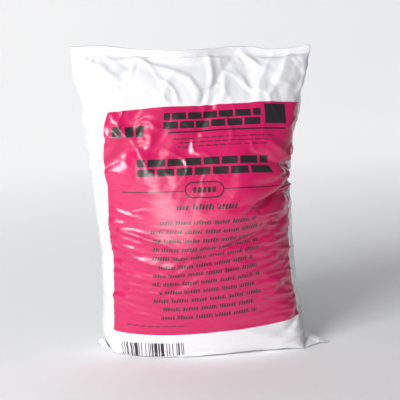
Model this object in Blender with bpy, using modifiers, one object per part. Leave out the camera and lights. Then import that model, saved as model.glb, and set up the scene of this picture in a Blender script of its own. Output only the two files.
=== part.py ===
"""A retail bag of cement that stands on its base: a pillow bag of plastic film, welded shut
at both ends, and the cement powder inside it. Metres, +Z up, the printed face towards -Y.

The film is a tube, so its girth is the same all the way up. Where the powder rounds it out it
is narrow and deep, and in the empty head it opens out to the full lay-flat width.
"""

import math

import bmesh
import bpy
from mathutils import Vector

MM = 0.001

# Driving dimensions, in millimetres
BAG_HEIGHT = 282.0
WELD_HEIGHT = 9.0  # the welded band along the top edge
FILM = 0.45  # the wall, so the welded band is two of these thick
POWDER_GAP = 0.35  # between the powder and the film
VENT_HEIGHT = 236.0  # a pin vent in the back of the head lets the air out
VENT_RADIUS = 1.0
FOLD_MARGIN = 3.0  # how far inside the head's side folds its two walls part

POINTS_ROUND = 24

# The film, level by level: height, reach to the left, reach to the right, depth to the front,
# depth to the back, and how pointed its sides are (under 1 is boxy, and 1 is an ellipse)
BASE = (0.0, 85.0, 87.0, 39.0, 34.0, 0.50)
BODY = [
    (6.0, 90.0, 94.0, 45.0, 41.0, 0.62),
    (24.0, 91.5, 96.5, 48.0, 45.0, 0.78),
    (55.0, 90.5, 95.0, 52.0, 48.0, 0.95),
    (95.0, 89.5, 90.0, 53.0, 49.0, 1.00),
    (135.0, 95.0, 87.0, 51.0, 48.0, 1.00),
    (170.0, 100.0, 87.0, 46.0, 44.0, 1.05),
]
HEAD = [
    (202.0, 103.5, 92.0, 37.0, 36.0, 1.15),
    (232.0, 108.5, 98.5, 25.0, 25.0, 1.30),
    (252.0, 113.5, 104.5, 12.5, 12.5, 1.40),
    (264.0, 116.0, 107.5, 4.0, 4.0, 1.20),
]
WELD_REACH = (117.0, 109.0)
WELD_POINTED = 0.25

# The powder closes over above the body in a low ridge: height, share of the reach and depth
POWDER_TOP = [(182.0, 0.90, 0.78), (189.0, 0.72, 0.48), (192.0, 0.45, 0.16)]

# The powder has slumped to the left: how much lower it lies at places across the bag
SLUMP = [(-10, 0), (88, 48)]
SLUMP_FROM = 95.0

# Over the low side of the powder the film is nipped in: share of the depth lost at places across
# the bag, and how much of that there is at each height
NIP = [(28, 0), (62, 0.45), (90, 0.45)]
NIP_HEIGHT = [(135, 0), (172, 1), (208, 0)]

# The standing edge of the head is wavy: places along it, how far they lean to the back, and
# how far they rise
HEAD_LEAN = [(-121, 11), (-85, 9), (-20, -8), (40, 8), (109, 0)]
HEAD_RISE = [(-121, 6.5), (-85, 5.5), (-35, -1), (40, 1), (109, 0.5)]
WAVE_FROM = 190.0

# The base is turned a little against the head, which brings its right end forward
BASE_TURN = 0.09
BASE_TURN_TO = 120.0

# The bottom corners of the tube stick out at the sides as ears. Each section across an ear is
# its place along X, the feet of its front and back slopes, and the place and height of its ridge
RIGHT_EAR = [
    (56, -38, 14, -14, 26),
    (86, -42, 8, -17, 29),
    (101, -40, 0, -22, 15),
    (112, -36, -12, -26, 6.5),
    (119, -32, -24, -28, 2.4),
]
LEFT_EAR = [(-56, -18, 30, 4, 22), (-84, -14, 26, 6, 21), (-91, -6, 20, 7, 15), (-97, 0, 14, 7, 10)]
EAR_UNDERSIDE = 0.3


def eased(points, x):
    """The height at x of a curve that eases from each of the points to the next."""
    if x <= points[0][0]:
        return points[0][1]
    for (x0, y0), (x1, y1) in zip(points, points[1:]):
        if x <= x1:
            share = (x - x0) / (x1 - x0)
            return y0 + (y1 - y0) * share * share * (3 - 2 * share)
    return points[-1][1]


def head_share(z):
    """How much of the head's wave there is at this height, from 0 to 1."""
    return max(0.0, (z - WAVE_FROM) / (BAG_HEIGHT - WAVE_FROM)) ** 2


def place(x, bulge, z):
    """A point of the upright, straight bag, moved to where the wave and the turn put it."""
    wave = head_share(z)
    turn = BASE_TURN * max(0.0, 1 - z / BASE_TURN_TO)
    return Vector((x, bulge + eased(HEAD_LEAN, x) * wave - x * turn, z + eased(HEAD_RISE, x) * wave))


def ring(level):
    """Points round the outside of the film at a level, the side folds at 0 and halfway."""
    height, left, right, front, back, pointed = level
    points = []
    for k in range(POINTS_ROUND):
        angle = 2 * math.pi * k / POINTS_ROUND
        x = (right if math.cos(angle) > 0 else left) * math.cos(angle)
        depth = back if math.sin(angle) > 0 else front
        bulge = math.copysign(depth * abs(math.sin(angle)) ** pointed, math.sin(angle))
        points.append(place(x, bulge, height))
    return points


def nipped(points):
    """The ring of film nipped in over the low side of the powder."""
    return [
        Vector((p.x, p.y * (1 - eased(NIP, p.x) * eased(NIP_HEIGHT, p.z)), p.z)) for p in points
    ]


def slumped(points):
    """The ring of powder lowered on the side where it lies lower."""
    moved = []
    for p in points:
        share = min(1.0, max(0.0, (p.z - SLUMP_FROM) / (POWDER_TOP[-1][0] - SLUMP_FROM)))
        moved.append(Vector((p.x, p.y, p.z - eased(SLUMP, p.x) * share)))
    return moved


def inside(points, inset, fold_inset=0.0):
    """The ring moved in by inset all round, and by fold_inset more at its two side folds."""
    moved = []
    for k, point in enumerate(points):
        along = points[(k + 1) % len(points)] - points[k - 1]
        inward = Vector((-along.y, along.x, 0.0)).normalized()
        is_fold = k in (0, len(points) // 2)
        moved.append(point + inward * (inset + (fold_inset if is_fold else 0.0)))
    return moved


def drawn_in(points, across, deep, height):
    """The ring at a new height, drawn in towards its middle."""
    middle = sum(points, Vector()) / len(points)
    return [
        Vector((middle.x + (p.x - middle.x) * across, middle.y + (p.y - middle.y) * deep, height))
        for p in points
    ]


def close_end(shape, row):
    """Closes a ring with strips that run across it from one side to the other."""
    last = len(row) // 2 - 1
    shape.faces.new((row[0], row[1], row[-1]))
    for k in range(1, last):
        shape.faces.new((row[k], row[k + 1], row[-k - 1], row[-k]))
    shape.faces.new((row[last], row[last + 1], row[-last]))


def loft(name, rings, collection):
    """A closed cage through the rings, in order, smoothed once."""
    shape = bmesh.new()
    rows = [[shape.verts.new(point * MM) for point in points] for points in rings]
    for low, high in zip(rows, rows[1:]):
        for k in range(len(low)):
            after = (k + 1) % len(low)
            shape.faces.new((low[k], low[after], high[after], high[k]))
    for row in (rows[0], rows[-1]):
        close_end(shape, row)
    bmesh.ops.recalc_face_normals(shape, faces=shape.faces)
    mesh = bpy.data.meshes.new(name)
    shape.to_mesh(mesh)
    shape.free()
    made = bpy.data.objects.new(name, mesh)
    collection.objects.link(made)
    smoothing = made.modifiers.new("Smoothing", "SUBSURF")
    smoothing.levels = smoothing.render_levels = 1
    return made


def combine(thing, tool, operation):
    """Joins the tool to the thing, or cuts it from the thing, and hides the tool."""
    step = thing.modifiers.new(f"{operation.title()} {tool.name}", "BOOLEAN")
    step.operation = operation
    step.object = tool
    tool.hide_render = True
    tool.display_type = "WIRE"


def film_skin(collection):
    """The outside of the film without its ears: body, head and the flat welded band."""
    base = ring(BASE)
    band = [
        ring((height, *WELD_REACH, FILM, FILM, WELD_POINTED))
        for height in (BAG_HEIGHT - WELD_HEIGHT, BAG_HEIGHT - FILM, BAG_HEIGHT)
    ]
    rings = [drawn_in(base, 0.6, 0.6, 0.0), base]
    rings += [nipped(ring(level)) for level in BODY + HEAD] + band
    return loft("film_bag", rings, collection)


def ear(name, sections, collection):
    """A tent-shaped corner of the tube, from inside the body out to its tip."""
    rings = []
    for x, front, back, ridge, height in sections:
        low = EAR_UNDERSIDE
        middle = (low + height) / 2
        outline = [
            (front, low),
            ((front + back) / 2, low),
            (back, low),
            ((back + ridge) / 2, middle),
            (ridge, height),
            ((front + ridge) / 2, middle),
        ]
        rings.append([Vector((x, y, z)) for y, z in outline])
    return loft(name, rings, collection)


def film_room(collection):
    """The room inside the film, up to the weld."""
    base = inside(ring(BASE), FILM)
    floor = [drawn_in(base, 0.6, 0.6, FILM), drawn_in(base, 1.0, 1.0, FILM)]
    body = [inside(nipped(ring(level)), FILM) for level in BODY]
    head = [inside(nipped(ring(level)), FILM, FOLD_MARGIN) for level in HEAD]
    return loft("film_room", floor + body + head, collection)


def vent(collection):
    """A pin vent, bored through the back wall of the head."""
    bpy.ops.mesh.primitive_cylinder_add(
        vertices=12,
        radius=VENT_RADIUS * MM,
        depth=40 * MM,
        location=(0, 25 * MM, VENT_HEIGHT * MM),
        rotation=(math.radians(90), 0, 0),
    )
    made = bpy.context.object
    made.name = "vent_cutter"
    for owner in made.users_collection:
        owner.objects.unlink(made)
    collection.objects.link(made)
    return made


def powder(collection):
    """The cement: it fills the body and closes over in a low ridge."""
    inset = FILM + POWDER_GAP
    base = inside(ring(BASE), inset)
    body = [inside(ring(level), inset) for level in BODY]
    rings = [drawn_in(base, 0.6, 0.6, inset), drawn_in(base, 1.0, 1.0, inset)] + body
    rings += [drawn_in(body[-1], across, deep, height) for height, across, deep in POWDER_TOP]
    return loft("cement_powder", [slumped(row) for row in rings], collection)


def material(name, colour, roughness):
    made = bpy.data.materials.new(name)
    made.use_nodes = True
    shader = made.node_tree.nodes["Principled BSDF"]
    shader.inputs["Base Color"].default_value = (*colour, 1.0)
    shader.inputs["Roughness"].default_value = roughness
    shader.inputs["Metallic"].default_value = 0.0
    return made


def stand_on_origin(holder, things):
    """Shifts the holder so that the middle of the base of all the things is the origin."""
    bpy.context.view_layer.update()
    graph = bpy.context.evaluated_depsgraph_get()
    corners = [Vector(corner) for thing in things for corner in thing.evaluated_get(graph).bound_box]
    low = Vector([min(corner[axis] for corner in corners) for axis in range(3)])
    high = Vector([max(corner[axis] for corner in corners) for axis in range(3)])
    holder.location = (-(low.x + high.x) / 2, -(low.y + high.y) / 2, -low.z)


def main():
    for thing in list(bpy.data.objects):
        bpy.data.objects.remove(thing)
    parts = bpy.data.collections.new("Cement bag")
    helpers = bpy.data.collections.new("Cutters")
    for collection in (parts, helpers):
        bpy.context.scene.collection.children.link(collection)

    film = film_skin(parts)
    combine(film, ear("right_ear", RIGHT_EAR, helpers), "UNION")
    combine(film, ear("left_ear", LEFT_EAR, helpers), "UNION")
    combine(film, film_room(helpers), "DIFFERENCE")
    combine(film, vent(helpers), "DIFFERENCE")
    film.data.materials.append(material("white film", (0.86, 0.87, 0.90), 0.35))

    cement = powder(parts)
    cement.data.materials.append(material("cement powder", (0.42, 0.41, 0.39), 0.95))
    for thing in (film, cement):
        thing.data.shade_smooth()

    holder = bpy.data.objects.new("bag_holder", None)
    parts.objects.link(holder)
    for thing in [*parts.objects, *helpers.objects]:
        if thing is not holder:
            thing.parent = holder
    stand_on_origin(holder, [film, cement])


main()
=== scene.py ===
# %% [markdown]
# A small bag of cement that stands on its base. It is a tube of plastic film, welded shut across
# both ends, with about three kilograms of powder in its lower two thirds and an empty, crumpled head.
#
# The lesson is about cloth that is filled. The film is modelled lying flat, at its true size, and a
# cloth simulation lets the powder swell inside it until it stands. The wrinkles then come from the
# same cause as on the real bag: a flat tube has more film than a rounded body needs.

# %% The frame
import math

import bmesh
import bpy
import numpy as np
from mathutils import Matrix, Vector, noise


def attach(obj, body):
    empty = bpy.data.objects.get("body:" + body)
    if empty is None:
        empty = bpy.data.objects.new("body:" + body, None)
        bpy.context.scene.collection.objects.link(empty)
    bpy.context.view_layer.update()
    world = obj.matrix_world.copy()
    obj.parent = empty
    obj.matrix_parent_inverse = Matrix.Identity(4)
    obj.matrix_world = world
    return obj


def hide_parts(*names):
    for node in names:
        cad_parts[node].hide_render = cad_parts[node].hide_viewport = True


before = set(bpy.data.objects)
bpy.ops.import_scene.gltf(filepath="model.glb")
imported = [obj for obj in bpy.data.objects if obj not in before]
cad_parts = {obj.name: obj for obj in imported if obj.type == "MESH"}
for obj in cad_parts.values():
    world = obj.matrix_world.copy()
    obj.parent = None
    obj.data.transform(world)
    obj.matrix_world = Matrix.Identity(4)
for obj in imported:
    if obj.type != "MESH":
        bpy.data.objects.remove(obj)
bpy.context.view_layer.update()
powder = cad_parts["cement_powder"]

# %% [markdown]
# All the lengths below are in millimetres, because the film is a thing of millimetres. The film is
# described as it lies flat. Any point of it has two addresses that never change, however it crumples:
# how far it is across from the middle of the front, and how far it is up from the bottom weld. The
# simulation and the print both use them.

# %% Sizes of the flat film
MM = 0.001
LAY_FLAT = 230.0  # from one side fold of the tube to the other
CUT_LENGTH = 345.0  # from the bottom weld to the top weld
SHEETS_APART = 0.6  # the front sheet from the back sheet, before filling
PITCH = 3.0  # one face of the mesh

# A multiple of four puts a column of points on both side folds and down both middles
faces_round = 4 * round(2 * LAY_FLAT / PITCH / 4)
faces_up = round(CUT_LENGTH / PITCH)
print("faces", faces_round, "x", faces_up)

# %% [markdown]
# The tube starts as one flat grid. Its columns are wrapped round the tube: the first half is the
# front sheet and the second half is the back sheet, a hair behind it. Where the sheets meet, at both
# side folds and at both ends, the doubled points are merged, so the tube becomes a closed pillow.
#
# The grid's own UV coordinates are kept. They are the two addresses, and the print needs them later.

# %% Fold the grid into a flat tube
ON_A_JOIN = 1e-4  # a point nearer than this to an edge of a sheet, as a share of the grid, is joined
MERGE_WITHIN = 0.01


def across(turns):
    """Place across the flat tube of a point this share of the way round it."""
    if turns <= 0.5:
        return (turns * 2 - 0.5) * LAY_FLAT
    return (1.5 - turns * 2) * LAY_FLAT


def flat_tube():
    """The film as it comes off the roll: two flat sheets, joined all round."""
    shape = bmesh.new()
    shape.loops.layers.uv.new("Flat")
    bmesh.ops.create_grid(shape, x_segments=faces_round, y_segments=faces_up, size=0.5, calc_uvs=True)
    for point in shape.verts:
        turns = point.co.x + 0.5
        up = point.co.y + 0.5
        is_joined = min(turns, abs(turns - 0.5), 1 - turns, up, 1 - up) < ON_A_JOIN
        side = -1 if turns < 0.5 else 1
        depth = 0.0 if is_joined else side * SHEETS_APART / 2
        point.co = Vector((across(turns), depth, up * CUT_LENGTH)) * MM
    bmesh.ops.remove_doubles(shape, verts=shape.verts, dist=MERGE_WITHIN * MM)
    bmesh.ops.recalc_face_normals(shape, faces=shape.faces)
    mesh = bpy.data.meshes.new("printed_film")
    shape.to_mesh(mesh)
    shape.free()
    return mesh


film = bpy.data.objects.new("printed_film", flat_tube())
bpy.context.scene.collection.objects.link(film)
print("points", len(film.data.vertices))

# %% [markdown]
# A few parts of the film are held in place while the rest is free. The top weld is stiff, so it keeps
# its wave. The middle of the base is pressed on the ground by the powder. The two bottom corners of
# the tube can't be filled, so they stick out as ears. The right ear lies down with the base, and of
# the left ear only the tip is held, so the film behind it can find its own shape.
#
# The held points are stored as a second shape of the mesh, a shape key called Standing.

# %% Where the held points go
WELD_BAND = 9.5  # held strip along the top
BASE_UP = [(-72, 13), (-30, 26), (40, 31), (75, 29), (115, 3)]  # held strip beside the bottom weld
BASE_LEFT = -72.0  # this strip ends here, short of the left ear
EAR_TIP = 7.0  # radius of the held tip of the left ear
LEFT_TIP = Vector((-97.5, 9.5, 3.5))  # where that tip stands
TOP = 282.0  # height of the top weld
WAVE_FROM = 190.0  # the weld's wave would fade out at this height
WELD_SHIFT = -5.5
WELD_WIDTH = 0.983  # of the flat width, because the weld waves to and fro
WELD_LEAN = [(-115, 9.5), (-85, 7.5), (-20, -5.5), (40, 6.5), (109, 0.5)]  # to the back
WELD_RISE = [(-118, 5.5), (-92, 5.8), (-54, 2), (-26, 1), (10, 1.2), (34, 2.5), (53, 1.5), (66, -1)]
WELD_RISE += [(80, -0.6), (92, 0.6), (105, 3)]
BASE_SHIFT = 7.0
BASE_BACK = 0.5
BASE_LIFT = 0.4
BASE_TURN = 0.09  # slope of the bottom weld on the ground
BASE_BEND = 0.0017  # the right ear bends forward
BEND_FROM = 20.0


def eased(points, x):
    """The height at x of a curve that eases from each of the points to the next."""
    if x <= points[0][0]:
        return points[0][1]
    for (x0, y0), (x1, y1) in zip(points, points[1:]):
        if x <= x1:
            share = (x - x0) / (x1 - x0)
            return y0 + (y1 - y0) * share * share * (3 - 2 * share)
    return points[-1][1]


def on_weld(flat):
    """The place of a point of the top weld on the standing bag."""
    x = flat.x * WELD_WIDTH + WELD_SHIFT
    z = TOP - CUT_LENGTH + flat.z
    wave = ((z - WAVE_FROM) / (TOP - WAVE_FROM)) ** 2
    return Vector((x, flat.y + eased(WELD_LEAN, x) * wave, z + eased(WELD_RISE, x) * wave))


def on_base(flat):
    """The place of a point of the base: the two sheets are opened out on the ground."""
    x = flat.x + BASE_SHIFT
    out = flat.z if flat.y > 0 else -flat.z
    bend = BASE_BEND * max(0.0, flat.x - BEND_FROM) ** 2
    return Vector((x, out - x * BASE_TURN - bend + BASE_BACK, BASE_LIFT))


def held_place(flat):
    """Where a point of the flat film is held on the standing bag, or None if it is free."""
    if flat.z > CUT_LENGTH - WELD_BAND:
        return on_weld(flat)
    if flat.x > BASE_LEFT and flat.z < eased(BASE_UP, flat.x):
        return on_base(flat)
    from_tip = Vector((flat.x + LAY_FLAT / 2, flat.y, flat.z))
    if from_tip.length < EAR_TIP:
        return LEFT_TIP + from_tip
    return None


def hold(thing):
    """Stores the held points as a shape key and a vertex group."""
    group = thing.vertex_groups.new(name="Held")
    thing.shape_key_add(name="Flat")
    standing = thing.shape_key_add(name="Standing")
    count = 0
    for point in thing.data.vertices:
        place = held_place(point.co / MM)
        if place is not None:
            standing.data[point.index].co = place * MM
            group.add([point.index], 1.0, "REPLACE")
            count += 1
    return count


print("held points", hold(film))

# %% [markdown]
# The powder from the CAD frame is the mould that the film is filled with. A copy of it starts as thin
# as a sheet of card inside the flat tube and swells to its full depth, as the bag does when it is
# filled. Cloth settings work best on large things, so the whole set is simulated ten times larger and
# scaled back afterwards.

# %% The mould and the ground
LARGER = 10.0
SLAB = (0.9, 0.03, 1.0)  # the scale at which the powder starts
FILLING = 24  # frames in which the powder swells
FRAMES = 46
GRIP = 5.0  # friction of the film on what it touches
AIR = 1.5  # pressure of the air inside
FROM_MOULD = 0.6
FROM_GROUND = 0.3
GROUND_SIDE = 1.2  # metres


def collider(thing, thickness):
    """Makes the cloth rest on the thing at this distance, in millimetres."""
    thing.modifiers.new("Collision", "COLLISION")
    thing.collision.thickness_outer = thickness * MM * LARGER
    thing.collision.cloth_friction = GRIP
    thing.collision.damping = 0.5


def swelling_copy(node):
    """A copy of the powder that grows from a thin slab to its full depth."""
    mesh = node.data.copy()
    mesh.transform(Matrix.Scale(LARGER, 4))
    made = bpy.data.objects.new("Mould", mesh)
    bpy.context.scene.collection.objects.link(made)
    made.scale = SLAB
    made.keyframe_insert("scale", frame=1)
    made.scale = (1.0, 1.0, 1.0)
    made.keyframe_insert("scale", frame=1 + FILLING)
    return made


def larger_shape(thing, factor):
    """Scales a mesh and all its shape keys."""
    for key in thing.data.shape_keys.key_blocks:
        for point in key.data:
            point.co = point.co * factor
    thing.data.transform(Matrix.Scale(factor, 4))


mould = swelling_copy(powder)
collider(mould, FROM_MOULD)
bpy.ops.mesh.primitive_plane_add(size=GROUND_SIDE * LARGER)
ground = bpy.context.object
collider(ground, FROM_GROUND)
larger_shape(film, LARGER)
standing = film.data.shape_keys.key_blocks["Standing"]
standing.value = 0.0
standing.keyframe_insert("value", frame=1)
standing.value = 1.0
standing.keyframe_insert("value", frame=1 + FILLING)
print("mould", [round(v / LARGER / MM) for v in mould.dimensions])

# %% [markdown]
# Polythene film hardly stretches at all, so the springs along the threads are stiff. It bends easily
# but holds a crease, so the bending spring is small. The air damping is low, or the film would look
# as if it hung under water.

# %% Fill the bag
FROM_OTHERS = 0.4  # the distance that the film keeps
FROM_ITSELF = 0.5


def cloth_settings(thing):
    """Makes the thing a cloth that behaves as thin polythene film."""
    step = thing.modifiers.new("Cloth", "CLOTH")
    film_cloth = step.settings
    film_cloth.quality = 8
    film_cloth.mass = 0.02
    film_cloth.air_damping = 1.0
    film_cloth.tension_stiffness = 80
    film_cloth.compression_stiffness = 80
    film_cloth.shear_stiffness = 40
    film_cloth.bending_stiffness = 0.05
    film_cloth.tension_damping = 0.5
    film_cloth.compression_damping = 0.5
    film_cloth.shear_damping = 0.5
    film_cloth.bending_damping = 0.1
    film_cloth.vertex_group_mass = "Held"
    film_cloth.pin_stiffness = 1.0
    film_cloth.use_pressure = True
    film_cloth.uniform_pressure_force = AIR
    step.collision_settings.distance_min = FROM_OTHERS * MM * LARGER
    step.collision_settings.collision_quality = 2
    step.collision_settings.use_self_collision = True
    step.collision_settings.self_distance_min = FROM_ITSELF * MM * LARGER
    step.point_cache.frame_start = 1
    step.point_cache.frame_end = FRAMES


def settle(thing):
    """Runs the simulation and keeps its last shape as a plain mesh of the true size."""
    for moment in range(1, FRAMES + 1):
        bpy.context.scene.frame_set(moment)
    graph = bpy.context.evaluated_depsgraph_get()
    result = bpy.data.meshes.new_from_object(thing.evaluated_get(graph))
    result.transform(Matrix.Scale(1 / LARGER, 4))
    thing.modifiers.clear()
    thing.shape_key_clear()
    thing.data = result
    bpy.context.scene.frame_set(1)


cloth_settings(film)
settle(film)
for helper in (mould, ground):
    bpy.data.objects.remove(helper)
print("film after filling", [round(v / MM, 1) for v in film.dimensions])

# %% [markdown]
# One round of subdivision turns the simulation's flat faces into smooth folds. No point may end up
# below the ground.

# %% Smooth the film
LOWEST = 0.1  # height of the film where it lies on the ground


def smooth(thing):
    """Subdivides the film once and keeps the result as its mesh."""
    step = thing.modifiers.new("Smoothing", "SUBSURF")
    step.levels = step.render_levels = 1
    graph = bpy.context.evaluated_depsgraph_get()
    result = bpy.data.meshes.new_from_object(thing.evaluated_get(graph))
    thing.modifiers.clear()
    thing.data = result
    for point in result.vertices:
        point.co.z = max(point.co.z, LOWEST * MM)
    result.shade_smooth()


smooth(film)
print("faces", len(film.data.polygons))

# %% [markdown]
# The simulation gives the large shape and its soft dents. The small folds of thin film are sharper
# than its mesh can show, so they are modelled afterwards, each as a path in the two flat addresses.
# Those addresses are read back from the UV coordinates that came through the whole simulation.

# %% Read the flat addresses back
def flat_addresses(mesh):
    """Places across and up the flat film of every point, and whether it is on the front sheet."""
    turns_up = np.empty(2 * len(mesh.loops))
    mesh.uv_layers["Flat"].data.foreach_get("uv", turns_up)
    corner = np.empty(len(mesh.loops), dtype=int)
    mesh.loops.foreach_get("vertex_index", corner)
    address = np.empty((len(mesh.vertices), 2))
    address[corner] = turns_up.reshape(-1, 2)
    turns, up = address.T
    front = turns < 0.5
    s = np.where(front, 2 * turns - 0.5, 1.5 - 2 * turns) * LAY_FLAT
    return s, up * CUT_LENGTH, front


print("points with an address", len(flat_addresses(film.data)[0]))

# %% [markdown]
# A fold rises like a tent: gently on one side and steeply on the other, and it fades out at its ends.
# For every point of the film the nearest spot on the path is found, one straight stretch after the
# other, and the height depends on how far off it is and on how far along the path it lies.

# %% One fold along a path
END_FADE = 0.6  # under 1, a fold keeps its height almost up to its ends
TENT = 1.2  # over 1, its sides are hollow like a tent's


def fold(s, t, height, gentle, steep, path):
    """How far each point is lifted by a fold. The gentle side is on the left of its path."""
    nearest = np.full(len(s), 1e9)
    along = np.zeros(len(s))
    on_left = np.zeros(len(s), dtype=bool)
    lengths = [math.dist(a, b) for a, b in zip(path, path[1:])]
    run = 0.0
    for (s0, t0), (s1, t1), length in zip(path, path[1:], lengths):
        ds, dt = (s1 - s0) / length, (t1 - t0) / length
        walk = np.clip((s - s0) * ds + (t - t0) * dt, 0, length)
        off = np.hypot(s - s0 - walk * ds, t - t0 - walk * dt)
        closer = off < nearest
        nearest = np.where(closer, off, nearest)
        along = np.where(closer, (run + walk) / sum(lengths), along)
        on_left = np.where(closer, ds * (t - t0) - dt * (s - s0) > 0, on_left)
        run += length
    reach = np.where(on_left, gentle, steep)
    return height * np.sin(np.pi * along) ** END_FADE * np.clip(1 - nearest / reach, 0, 1) ** TENT


sample = fold(np.array([0.0]), np.array([0.0]), 2.0, 6, 3, [(-10, 0), (10, 0)])
print("a fold 2 mm high lifts the point on its middle by", sample)

# %% [markdown]
# The folds of this bag are listed one by one. On the left of the body the film was pushed down by the
# powder, and long folds run from the side towards the middle. In the head, which is empty, they hang
# from the top weld and meet in flat facets. A negative height is a hollow.

# %% Where the folds lie
BODY_FOLDS = [  # height, reach of the gentle side, reach of the steep side, and the path
    (1.3, 5, 2.5, [(-92, 188), (-75, 184), (-56, 181)]),
    (1.2, 4, 2.5, [(-92, 180), (-56, 178)]),
    (2.4, 8, 3.0, [(-95, 179), (-88, 175), (-35, 157), (-26, 149)]),
    (1.8, 5, 2.5, [(-92, 171), (-66, 168), (-37, 154)]),
    (1.5, 4, 2.5, [(-90, 166), (-54, 157)]),
    (2.0, 5, 3.0, [(-92, 162), (-56, 149)]),
    (2.4, 7, 3.0, [(-94, 154), (-72, 146), (-28, 132)]),
    (1.8, 5, 3.0, [(-94, 142), (-66, 131)]),
    (2.2, 6, 3.0, [(-97, 131), (-46, 122)]),
    (1.5, 5, 2.5, [(-95, 124), (-52, 114)]),
    (1.3, 4, 2.5, [(-77, 113), (-39, 109)]),
    (1.5, 5, 2.5, [(-98, 107), (-67, 104)]),
    (1.2, 5, 2.5, [(-94, 99), (-55, 88)]),
    (1.0, 3, 2.0, [(-68, 187), (-47, 189)]),
    (1.0, 3, 2.5, [(56, 142), (94, 140)]),
    (1.1, 3, 2.5, [(80, 111), (104, 119)]),
    (1.1, 3, 2.5, [(58, 100), (98, 107)]),
    (1.2, 4, 2.5, [(42, 105), (66, 102), (97, 86)]),
    (1.1, 4, 2.5, [(45, 94), (92, 84)]),
    (1.0, 3, 2.5, [(66, 75), (101, 79)]),
    (1.0, 3, 2.5, [(55, 67), (98, 70)]),
    (1.5, 6, 2.0, [(56, 40), (98, 43)]),
]
HEAD_FOLDS = [
    (2.2, 7, 4, [(-5, 313), (-45, 325), (-64, 341)]),
    (2.0, 7, 4, [(-94, 304), (-74, 311), (-45, 325)]),
    (1.5, 6, 3, [(-93, 293), (-65, 303)]),
    (1.8, 4, 7, [(-37, 280), (-29, 307), (-21, 315), (-7, 310), (4, 288)]),
    (2.2, 6, 5, [(13, 342), (14, 311), (5, 278)]),
    (1.8, 5, 4, [(28, 320), (25, 294), (13, 280)]),
    (2.2, 6, 5, [(44, 342), (65, 320)]),
    (2.4, 8, 4, [(80, 339), (58, 306), (53, 283)]),
    (2.6, 8, 4, [(96, 341), (87, 325), (63, 288)]),
    (1.8, 5, 4, [(104, 334), (105, 309), (95, 293)]),
    (1.6, 5, 4, [(38, 320), (50, 296)]),
    (1.5, 5, 4, [(-87, 321), (-69, 308)]),
    (1.8, 6, 4, [(-112, 338), (-81, 319)]),
    (2.4, 6, 6, [(-90, 288), (-72, 268), (-52, 236), (-46, 222)]),
    (1.5, 4, 4, [(-88, 262), (-70, 256), (-50, 262)]),
    (3.0, 8, 6, [(55, 252), (75, 239), (96, 226)]),
    (-3.5, 9, 9, [(40, 240), (66, 228), (104, 213)]),
]
print("folds", len(BODY_FOLDS) + len(HEAD_FOLDS))

# %% [markdown]
# Between the named folds the film is crumpled all over. Smooth noise changes sign along winding
# lines, and a tent over those lines makes thin creases. On the body they run across the bag, because
# there the film has been pushed down by the powder. In the head they run in every direction, over
# broad facets that a second, coarser noise makes.

# %% Crumple the film
MIDDLE = 25.0  # the middle of the body is smooth up to this far from its centre line
TO_FULL = 45.0  # and fully crumpled this much further out
HEAD_FROM = 196.0
TO_HEAD = 40.0
BODY_CREASE, HEAD_FACET, HEAD_CREASE = 2.6, 3.0, 1.3  # heights, before the patches lower them


def ramp(value, start, length):
    """Rises from 0 at the start to 1 a length further on."""
    return min(1.0, max(0.0, (value - start) / length))


def patches(s, t, across_each, up_each, seed):
    """Soft noise between about -1 and 1, with patches of this size in millimetres."""
    return noise.noise(Vector((s / across_each, t / up_each, seed)))


def crease(value, width):
    """1 on the winding line where the noise changes sign, and 0 away from it."""
    return max(0.0, 1 - abs(value) / width)


def crumple(s, t, sheet):
    """How far the crumpled film stands out at one place."""
    side = ramp(abs(s), MIDDLE, TO_FULL)
    head = ramp(t, HEAD_FROM, TO_HEAD)
    # Long flat creases that slope a little, strongest in patches
    body = crease(patches(s - 0.2 * t, t + 0.25 * s, 46, 8, sheet), 0.2)
    body *= max(0.0, 0.25 + patches(s, t, 30, 30, sheet + 5))
    # Broad facets, and thin lines over them that are strongest in patches too
    facets = abs(patches(s, t, 34, 44, sheet + 9)) - 0.25
    lines = crease(patches(s, t, 24, 30, sheet + 13), 0.12)
    lines *= 0.5 + patches(s, t, 26, 26, sheet + 17)
    on_body = (1 - head) * side * BODY_CREASE * body
    return on_body + head * (HEAD_FACET * facets + HEAD_CREASE * lines)


print("crumple at the left side", round(crumple(-90.0, 150.0, 0.0), 2), "mm")

# %% [markdown]
# Folds and crumple are added up and lift every point along its normal. The named folds are on the
# front sheet, and the back sheet has the crumple alone. The crumple stops short of the top weld and of
# the base, and nothing is lifted at the side folds, where the film bends too sharply.
#
# Then the outline is corrected: a curve over the height says how far each side is pulled out, and one
# dent in the back, which the simulation left, is eased out.

# %% Lift the film
SIDE_FADE = 14.0  # nothing is lifted at the side folds themselves
PULL_LEFT = [(90, 0), (115, 2), (160, 2), (178, 5.5), (190, 6.5), (215, 5.5), (232, 0), (258, 2), (270, 0)]
PULL_RIGHT = [(12, 3), (40, 2), (65, 0), (84, 0), (104, 2), (124, 5), (144, 10), (158, 19), (168, 21)]
PULL_RIGHT += [(184, 9), (200, 6.5), (220, 5), (245, 2.5), (262, 2), (272, 0)]
PULL_LEFT_FROM, PULL_LEFT_TO_FULL = 40.0, 45.0  # distance from the middle, and how much further out
PULL_RIGHT_FROM, PULL_RIGHT_TO_FULL = 25.0, 36.0
DENT = (62.0, 155.0)
DENT_RADIUS, DENT_DEPTH = 24.0, 9.0
UNDER_WELD, UNDER_WELD_FADE = 6.0, 10.0  # flat strip under the top weld, and how soon the lift is full
OVER_BASE, OVER_BASE_FADE = 38.0, 12.0
BACK_SEED = 40.0  # the back sheet reads another part of the noise


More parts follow.
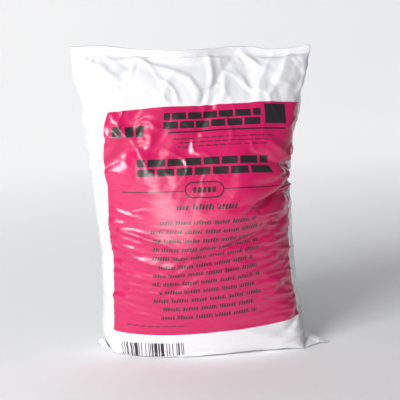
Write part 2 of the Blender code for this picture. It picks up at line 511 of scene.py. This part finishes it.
def sculpt(thing):
    """Lifts every point along its normal by the folds and the crumple."""
    mesh = thing.data
    s, t, front = flat_addresses(mesh)
    lift = np.array([crumple(a, b, 0.0 if f else BACK_SEED) for a, b, f in zip(s, t, front)])
    lift *= np.clip((CUT_LENGTH - UNDER_WELD - t) / UNDER_WELD_FADE, 0, 1)
    lift *= np.clip((t - OVER_BASE) / OVER_BASE_FADE, 0, 1)
    for height, gentle, steep, path in BODY_FOLDS + HEAD_FOLDS:
        lift += np.where(front, fold(s, t, height, gentle, steep, path), 0.0)
    lift *= np.clip((LAY_FLAT / 2 - np.abs(s)) / SIDE_FADE, 0, 1)
    place = np.empty(3 * len(mesh.vertices))
    normal = np.empty(3 * len(mesh.vertices))
    mesh.vertices.foreach_get("co", place)
    mesh.vertices.foreach_get("normal", normal)
    place = place.reshape(-1, 3) / MM + normal.reshape(-1, 3) * lift[:, None]
    for point in place:
        x, y, z = point
        point[0] -= eased(PULL_LEFT, z) * ramp(-x, PULL_LEFT_FROM, PULL_LEFT_TO_FULL)
        point[0] += eased(PULL_RIGHT, z) * ramp(x, PULL_RIGHT_FROM, PULL_RIGHT_TO_FULL)
        if y > 0:
            point[1] += DENT_DEPTH * math.exp(-(math.dist((x, z), DENT) / DENT_RADIUS) ** 2)
    place[:, 2] = np.maximum(place[:, 2], LOWEST)
    mesh.vertices.foreach_set("co", (place * MM).ravel())
    mesh.update()


sculpt(film)
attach(film, "root")
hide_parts("film_bag")
print("film", [round(v / MM, 1) for v in film.dimensions])

# %% [markdown]
# The film's material is drawn in the two flat addresses, in millimetres. That is how a real bag is
# printed: flat, before it is filled, so the print bends with every wrinkle. Each shape is a value
# that is 1 inside and 0 outside, built from a few sums, and the shapes are joined by taking the
# larger value. A small class keeps the node code short.
#
# It starts with what any material can use: nodes, sums, and values that are joined.

# %% A helper that draws with nodes
EDGE = 0.45  # width of a soft printed edge


class Drawing:
    """Short ways to add nodes to a material's node tree."""

    def __init__(self, tree):
        self.tree = tree

    def put(self, socket, value):
        """Links a node's output to the socket, or sets a plain value on it."""
        if isinstance(value, bpy.types.NodeSocket):
            self.tree.links.new(value, socket)
        else:
            socket.default_value = value

    def node(self, kind, **inputs):
        """A new node with these inputs."""
        made = self.tree.nodes.new(kind)
        for name, value in inputs.items():
            self.put(made.inputs[name], value)
        return made

    def calc(self, operation, *values):
        """The result of one sum."""
        made = self.tree.nodes.new("ShaderNodeMath")
        made.operation = operation
        for socket, value in zip(made.inputs, values):
            self.put(socket, value)
        return made.outputs[0]

    def soft(self, inside):
        """1 where the distance is positive and 0 where it is negative, with a soft edge."""
        value = self.calc("MULTIPLY_ADD", inside, 1 / EDGE, 0.5)
        value.node.use_clamp = True
        return value

    def distance_in(self, value, low, high):
        """How far inside the range a value is."""
        off = self.calc("ABSOLUTE", self.calc("SUBTRACT", value, (low + high) / 2))
        return self.calc("SUBTRACT", (high - low) / 2, off)

    def any_of(self, *shapes):
        """1 where at least one of the shapes is."""
        joined = shapes[0]
        for shape in shapes[1:]:
            joined = self.calc("MAXIMUM", joined, shape)
        return joined

    def both(self, first, second):
        """1 where the two shapes overlap."""
        return self.calc("MULTIPLY", first, second)

    def chance(self, *values):
        """A repeatable random number from whole numbers."""
        place = self.tree.nodes.new("ShaderNodeCombineXYZ")
        for socket, value in zip(place.inputs, values):
            self.put(socket, value)
        return self.node("ShaderNodeTexWhiteNoise", Vector=place.outputs[0]).outputs["Value"]


print("a printed edge is", EDGE, "mm soft")

# %% [markdown]
# The film's drawing knows the two flat addresses. They are turned and leaned by a hair before they
# are used, because the print doesn't sit quite square on this film. Rectangles and bars with round
# ends are drawn by how far inside them a point is, so their edges stay equally soft.

# %% Shapes on the flat film
TILT = 0.102  # slope of the print's lines at the bottom of the film
TILT_LESS = 0.00046  # and how much less it is for each millimetre further up
LEAN = 0.042
PRINT_SHIFT = 12.0


class FilmDrawing(Drawing):
    """Shapes in the flat film's own millimetres: s is across it and t is up it."""

    def __init__(self, tree):
        super().__init__(tree)
        address = self.tree.nodes.new("ShaderNodeUVMap")
        parts = self.node("ShaderNodeSeparateXYZ", Vector=address.outputs[0])
        s = self.calc("MULTIPLY_ADD", parts.outputs[0], 2 * LAY_FLAT, -LAY_FLAT / 2)
        t = self.calc("MULTIPLY", parts.outputs[1], CUT_LENGTH)
        tilt = self.calc("MULTIPLY_ADD", t, -TILT_LESS, TILT)
        self.t = self.calc("MULTIPLY_ADD", s, tilt, t)
        self.s = self.calc("ADD", s, self.calc("MULTIPLY_ADD", t, -LEAN, PRINT_SHIFT))

    def block(self, left, right, low, high):
        """A filled rectangle."""
        wide = self.distance_in(self.s, left, right)
        tall = self.distance_in(self.t, low, high)
        return self.soft(self.calc("MINIMUM", wide, tall))

    def round_block(self, left, right, low, high):
        """How far inside a bar with half-round ends a point is."""
        radius = (high - low) / 2
        off = self.calc("ABSOLUTE", self.calc("SUBTRACT", self.s, (left + right) / 2))
        along = self.calc("MAXIMUM", self.calc("SUBTRACT", off, (right - left) / 2 - radius), 0.0)
        up = self.calc("SUBTRACT", self.t, (low + high) / 2)
        squares = self.calc("ADD", self.calc("POWER", along, 2.0), self.calc("MULTIPLY", up, up))
        reach = self.calc("SQRT", squares)
        return self.calc("SUBTRACT", radius, reach)


print("film drawing is ready for", round(LAY_FLAT), "by", round(CUT_LENGTH), "mm")

# %% [markdown]
# Three patterns are built from those shapes. Bricks in running bond fit a bag of cement and need only
# two repeats, one along the course and one up the wall, with every course moved on by half a brick.
# Grey type is what printers set where the words aren't known yet: bars with gaps that spell nothing.
# The last one is a row of upright bars of uneven width. White noise that reads whole numbers decides
# every length, so it comes out the same each time.

# %% Bricks, grey type and bars
WORD_STEP, WORD = 4.6, 4.0  # from one word to the next and length of a word, in heights of the type
STROKE_STEP, STROKE = 0.62, 0.7  # from stroke to stroke in heights, and the inked share of that step
SLANT = 0.25
SHORTEST, TALLEST = 0.75, 1.1  # strokes, in heights of the type
WORDS_FROM, WORDS_MOVE = 40.0, 6.0  # every line starts its words somewhere else
TYPE_SIDE = 100.0  # no type is further from the middle than this
UNDER_TYPE = 0.5
REACH_SEED, SHIFT_SEED, HEIGHT_SEED, BAR_SEED = 3.0, 7.0, 5.0, 11.0
BLANK = 0.48  # share of the bars that are left out


def bricks(draw, left, right, low, courses, high_each, long_each, gap):
    """Courses of bricks in running bond."""
    course = draw.calc("FLOOR", draw.calc("DIVIDE", draw.calc("SUBTRACT", draw.t, low), high_each))
    shift = draw.calc("MULTIPLY", course, 0.5)
    along = draw.calc("ADD", draw.calc("DIVIDE", draw.calc("SUBTRACT", draw.s, left), long_each), shift)
    in_brick = draw.calc("MULTIPLY", draw.calc("FRACT", along), long_each)
    in_course = draw.calc("FLOORED_MODULO", draw.calc("SUBTRACT", draw.t, low), high_each)
    wide = draw.distance_in(in_brick, 0.0, long_each - gap)
    tall = draw.distance_in(in_course, 0.0, high_each - gap)
    filled = draw.soft(draw.calc("MINIMUM", wide, tall))
    return draw.both(filled, draw.block(left, right, low, low + courses * high_each - gap))


def grey_type(draw, low, high, pitch, middle, reach, vary, body):
    """Lines of grey type round a middle: how far they reach, and by how much that varies."""
    row_value = draw.calc("DIVIDE", draw.calc("SUBTRACT", draw.t, low), pitch)
    row = draw.calc("FLOOR", row_value)
    in_row = draw.calc("MULTIPLY", draw.calc("FRACT", row_value), pitch)
    half = draw.calc("MULTIPLY_ADD", draw.chance(row, REACH_SEED, 0.0), vary, reach)
    off = draw.calc("ABSOLUTE", draw.calc("SUBTRACT", draw.s, middle))
    wide = draw.soft(draw.calc("SUBTRACT", half, off))
    shift = draw.calc("MULTIPLY_ADD", draw.chance(row, SHIFT_SEED, 0.0), WORDS_MOVE, WORDS_FROM)
    word_value = draw.calc("MULTIPLY_ADD", draw.s, 1 / (body * WORD_STEP), shift)
    in_word = draw.calc("MULTIPLY", draw.calc("FRACT", word_value), body * WORD_STEP)
    word = draw.soft(draw.distance_in(in_word, 0.0, body * WORD))
    slanted = draw.calc("MULTIPLY_ADD", in_row, -SLANT, draw.s)
    stroke_value = draw.calc("MULTIPLY_ADD", slanted, 1 / (body * STROKE_STEP), shift)
    tall_by = draw.chance(draw.calc("FLOOR", stroke_value), row, HEIGHT_SEED)
    top = draw.calc("MULTIPLY_ADD", tall_by, body * (TALLEST - SHORTEST), body * SHORTEST)
    tall = draw.soft(draw.calc("MINIMUM", in_row, draw.calc("SUBTRACT", top, in_row)))
    stroke = draw.soft(draw.calc("SUBTRACT", STROKE, draw.calc("FRACT", stroke_value)))
    ink = draw.both(draw.both(wide, word), draw.both(tall, stroke))
    return draw.both(ink, draw.block(-TYPE_SIDE, TYPE_SIDE, low - UNDER_TYPE, high))


def stripes(draw, left, right, low, high, module):
    """A block of upright bars of uneven width."""
    place = draw.calc("FLOOR", draw.calc("DIVIDE", draw.s, module))
    bar = draw.calc("GREATER_THAN", draw.chance(place, BAR_SEED, 0.0), BLANK)
    return draw.both(bar, draw.block(left, right, low, high))


print("a word of type 2 mm high is", WORD * 2, "mm long")

# %% [markdown]
# The print is a plain design of this part's own: one magenta panel on the front, with rules, bricks
# and grey type in dark ink on it, and a row of bars below it. Its shapes are lists, so each is one
# line, and loops draw them.

# %% The layout of the print
WHITE = (0.83, 0.84, 0.87, 1.0)
MAGENTA = (0.60, 0.003, 0.105, 1.0)
INK = (0.018, 0.014, 0.016, 1.0)
PANEL = (-84.0, 102.0, 66.0, 283.5)  # left, right, low and high, as for all the rectangles
BLOCKS = [
    (58.5, 79.5, 264.0, 281.5),
    (-76.0, -68.5, 258.5, 269.0),
    (-65.5, -58.2, 257.5, 267.5),
    (-56.6, -49.5, 257.5, 267.5),
]
RULES = [
    (-30.0, 78.5, 258.9, 260.4),
    (-70.0, -13.5, 204.9, 205.9),
    (22.5, 96.0, 206.1, 207.1),
]
PILL = (-13.5, 22.5, 198.6, 213.8)
PILL_LINE = 1.3
BRICKS = [  # left, right, low, courses, height and length of a brick with its joint, joint
    (-33.5, 55.0, 263.0, 2, 8.2, 14.9, 1.6),
    (-54.0, 60.0, 219.6, 2, 9.0, 16.5, 2.0),
    (-6.0, 15.5, 203.4, 1, 6.6, 4.4, 1.2),
]
GREY_TYPE = [  # low, high, step from line to line, middle, reach, how much that varies, type height
    (245.4, 256.5, 3.7, 20.0, 38.0, 8.0, 1.5),
    (188.2, 195.0, 9.0, 7.3, 28.0, 0.0, 4.8),
    (81.8, 183.1, 8.45, 7.5, 42.0, 12.0, 3.8),
    (74.2, 76.6, 4.0, -42.0, 27.0, 2.0, 1.5),
]
UPRIGHT_BARS = (-75.5, -18.0, 42.5, 57.5, 0.75)  # the last is the width of the narrowest bar


def printed_ink(draw):
    """All the dark ink of the front."""
    pill = draw.round_block(*PILL)
    ring = draw.both(draw.soft(pill), draw.soft(draw.calc("SUBTRACT", PILL_LINE, pill)))
    shapes = [ring, stripes(draw, *UPRIGHT_BARS)]
    shapes += [draw.block(*sides) for sides in BLOCKS + RULES]
    shapes += [bricks(draw, *wall) for wall in BRICKS]
    shapes += [grey_type(draw, *lines) for lines in GREY_TYPE]
    return draw.any_of(*shapes)


print("print", PANEL[1] - PANEL[0], "mm wide and", PANEL[3] - PANEL[2], "mm high")

# %% [markdown]
# Polythene film is glossy under its print too, so the whole film has one roughness and a clear coat.
# Creases too fine for the mesh are a bump. Noise in Object coordinates crinkles the film evenly, and
# a second noise in the flat addresses is stretched across the bag, so on the body it looks pressed
# down. It fades out towards the head.

# %% The printed film
def mix_colour(draw, share, first, second):
    """The first colour where the share is 0 and the second where it is 1."""
    made = draw.tree.nodes.new("ShaderNodeMix")
    made.data_type = "RGBA"
    for socket, value in zip((made.inputs[0], made.inputs[6], made.inputs[7]), (share, first, second)):
        draw.put(socket, value)
    return made.outputs[2]


STREAK_ACROSS, STREAK_UP, STREAK_SLOPE = 0.035, 0.30, 0.06  # pattern sizes to a millimetre
STREAK_HEIGHT = 1.3
STREAK_FADE, STREAK_TOP = 0.02, 4.4  # the streaks are full up to 170 mm and gone at 220 mm


def crinkles(draw):
    """Small creases of the film as a bump. On the body they are drawn out across the bag."""
    place = draw.tree.nodes.new("ShaderNodeTexCoord").outputs["Object"]
    coarse = draw.node("ShaderNodeTexNoise", Vector=place, Scale=60.0, Detail=4.0, Roughness=0.55)
    coarse.inputs["Distortion"].default_value = 0.6
    fine = draw.node("ShaderNodeTexNoise", Vector=place, Scale=260.0, Detail=3.0, Roughness=0.6)
    height = draw.calc("MULTIPLY_ADD", fine.outputs[0], 0.25, coarse.outputs[0])
    flat = draw.tree.nodes.new("ShaderNodeCombineXYZ")
    draw.put(flat.inputs[0], draw.calc("MULTIPLY", draw.s, STREAK_ACROSS))
    slope = draw.calc("MULTIPLY", draw.s, STREAK_SLOPE)
    draw.put(flat.inputs[1], draw.calc("MULTIPLY_ADD", draw.t, STREAK_UP, slope))
    streaks = draw.node("ShaderNodeTexNoise", Vector=flat.outputs[0], Scale=1.0, Detail=3.0, Roughness=0.5)
    on_body = draw.calc("MULTIPLY_ADD", draw.t, -STREAK_FADE, STREAK_TOP)
    on_body.node.use_clamp = True
    streaks = draw.calc("MULTIPLY", draw.calc("MULTIPLY", streaks.outputs[0], on_body), STREAK_HEIGHT)
    height = draw.calc("ADD", height, streaks)
    return draw.node("ShaderNodeBump", Strength=0.4, Distance=0.0012, Height=height).outputs[0]


def film_material():
    """Glossy white film with the print on it."""
    made = bpy.data.materials.new("Printed film")
    made.use_nodes = True
    draw = FilmDrawing(made.node_tree)
    shader = made.node_tree.nodes["Principled BSDF"]
    panel = draw.block(*PANEL)
    ground_colour = mix_colour(draw, panel, WHITE, MAGENTA)
    draw.put(shader.inputs["Base Color"], mix_colour(draw, printed_ink(draw), ground_colour, INK))
    draw.put(shader.inputs["Normal"], crinkles(draw))
    shader.inputs["Roughness"].default_value = 0.32
    shader.inputs["Coat Weight"].default_value = 0.8
    shader.inputs["Coat Roughness"].default_value = 0.22
    return made


film.data.materials.clear()
film.data.materials.append(film_material())
print("nodes in the film", len(film.data.materials[0].node_tree.nodes))

# %% [markdown]
# Cement is a dry, dull, grey powder. Nobody sees it until the bag is cut open, but the part is reused
# on its own, so it gets soft lumps and a fine grain.

# %% The cement powder
LIGHT_CEMENT = (0.47, 0.46, 0.43, 1.0)
DARK_CEMENT = (0.33, 0.325, 0.31, 1.0)


def cement_material():
    """Dull grey powder with soft lumps and a fine grain."""
    made = bpy.data.materials.new("Cement")
    made.use_nodes = True
    draw = Drawing(made.node_tree)
    shader = made.node_tree.nodes["Principled BSDF"]
    place = draw.tree.nodes.new("ShaderNodeTexCoord").outputs["Object"]
    lumps = draw.node("ShaderNodeTexNoise", Vector=place, Scale=45.0, Detail=6.0, Roughness=0.6)
    grain = draw.node("ShaderNodeTexNoise", Vector=place, Scale=900.0, Detail=2.0)
    draw.put(shader.inputs["Base Color"], mix_colour(draw, lumps.outputs[0], LIGHT_CEMENT, DARK_CEMENT))
    height = draw.calc("MULTIPLY_ADD", grain.outputs[0], 0.3, lumps.outputs[0])
    bump = draw.node("ShaderNodeBump", Strength=0.5, Distance=0.001, Height=height)
    draw.put(shader.inputs["Normal"], bump.outputs[0])
    shader.inputs["Roughness"].default_value = 0.95
    return made


powder.data.materials.clear()
powder.data.materials.append(cement_material())
print("nodes in the cement", len(powder.data.materials[0].node_tree.nodes))

# %% [markdown]
# The set is a white sweep: a floor that curves up into a wall, with no corner to cast a line. It is
# one square whose back edge is extruded upward, and a bevel rounds the bend.

# %% The set
HALF_FLOOR = 2.0  # metres, as all the sizes of the set
BACK = HALF_FLOOR - 0.1  # what is further back than this belongs to the back edge
WALL = 3.0
BEND = 0.8
PAPER = (0.93, 0.93, 0.93, 1.0)
# painted light: the paper's own emission, standing in for a lamp behind the bag
GLOW = 0.42
GLOW_RISE, GLOW_START = 1.1, -0.02  # the glow is full 0.93 m behind the bag


def sweep():
    """A floor and a wall in one curved sheet."""
    shape = bmesh.new()
    bmesh.ops.create_grid(shape, x_segments=1, y_segments=1, size=HALF_FLOOR)
    back = [edge for edge in shape.edges if all(v.co.y > BACK for v in edge.verts)]
    raised = bmesh.ops.extrude_edge_only(shape, edges=back)["geom"]
    raised_points = [part for part in raised if isinstance(part, bmesh.types.BMVert)]
    bmesh.ops.translate(shape, vec=(0, 0, WALL), verts=raised_points)
    bend = [edge for edge in shape.edges if all(v.co.y > BACK and v.co.z < 0.1 for v in edge.verts)]
    bmesh.ops.bevel(shape, geom=bend, offset=BEND, segments=16, affect="EDGES", profile=0.5)
    mesh = bpy.data.meshes.new("Sweep")
    shape.to_mesh(mesh)
    shape.free()
    mesh.shade_smooth()
    made = bpy.data.objects.new("sweep", mesh)
    bpy.context.scene.collection.objects.link(made)
    return made


def paper_material():
    """White paper with painted light: its emission glows more the farther back it is, standing in for a
    lamp behind the bag.
    """
    made = bpy.data.materials.new("Paper")
    made.use_nodes = True
    draw = Drawing(made.node_tree)
    shader = made.node_tree.nodes["Principled BSDF"]
    shader.inputs["Base Color"].default_value = PAPER
    shader.inputs["Roughness"].default_value = 0.9
    place = made.node_tree.nodes.new("ShaderNodeTexCoord").outputs["Object"]
    back = draw.node("ShaderNodeSeparateXYZ", Vector=place).outputs[1]
    # Painted light: the emission grows towards the back of the sweep.
    glow = draw.calc("MULTIPLY_ADD", back, GLOW_RISE, GLOW_START)
    glow.node.use_clamp = True
    shader.inputs["Emission Color"].default_value = (1.0, 1.0, 1.0, 1.0)
    draw.put(shader.inputs["Emission Strength"], draw.calc("MULTIPLY", glow, GLOW))
    return made


backdrop = sweep()
backdrop.data.materials.append(paper_material())
print("faces in the sweep", len(backdrop.data.polygons))

# %% [markdown]
# One large soft light stands to the left and in front, so the right third of the bag falls into
# shade. A low panel beside it is mirrored in the film and gives the pale sheen on the left of the
# print. The camera looks from the left and a little from above, through a long lens.

# %% Lights and camera
AIM = Vector((0.0, -0.0015, 0.141))  # the camera and both lights point at this place
ROOM = (0.93, 0.95, 1.0, 1.0)
ROOM_LIGHT = 0.15


def soft_light(name, place, size, power, colour):
    """A square light that faces the bag."""
    data = bpy.data.lights.new(name, "AREA")
    data.size = size
    data.energy = power
    data.color = colour
    made = bpy.data.objects.new(name, data)
    bpy.context.scene.collection.objects.link(made)
    made.location = place
    made.rotation_euler = (AIM - made.location).to_track_quat("-Z", "Y").to_euler()
    return made


def look_from(azimuth, elevation, distance, lens):
    """The camera, with its angles in degrees and its distance in metres."""
    a, e = math.radians(azimuth), math.radians(elevation)
    back = Vector((math.sin(a) * math.cos(e), -math.cos(a) * math.cos(e), math.sin(e)))
    data = bpy.data.cameras.new("Camera")
    data.lens = lens
    made = bpy.data.objects.new("Camera", data)
    bpy.context.scene.collection.objects.link(made)
    made.location = AIM + back * distance
    made.rotation_euler = (-back).to_track_quat("-Z", "Y").to_euler()
    bpy.context.scene.camera = made


soft_light("Window", (-1.15, -0.95, 0.9), size=0.7, power=24.5, colour=(0.97, 0.985, 1.0))
soft_light("Low panel", (-0.52, -1.25, 0.24), size=0.46, power=5.5, colour=(1.0, 0.9, 0.88))
world = bpy.data.worlds.new("Room")
bpy.context.scene.world = world
world.use_nodes = True
world.node_tree.nodes["Background"].inputs["Color"].default_value = ROOM
world.node_tree.nodes["Background"].inputs["Strength"].default_value = ROOM_LIGHT
bpy.context.scene.view_settings.view_transform = "Standard"
look_from(azimuth=-14.0, elevation=12.0, distance=1.31, lens=126.0)
print("camera at", [round(v, 3) for v in bpy.context.scene.camera.location])

# %% [markdown]
# Last, the view layer is brought up to date.

# %% Finish
bpy.context.view_layer.update()
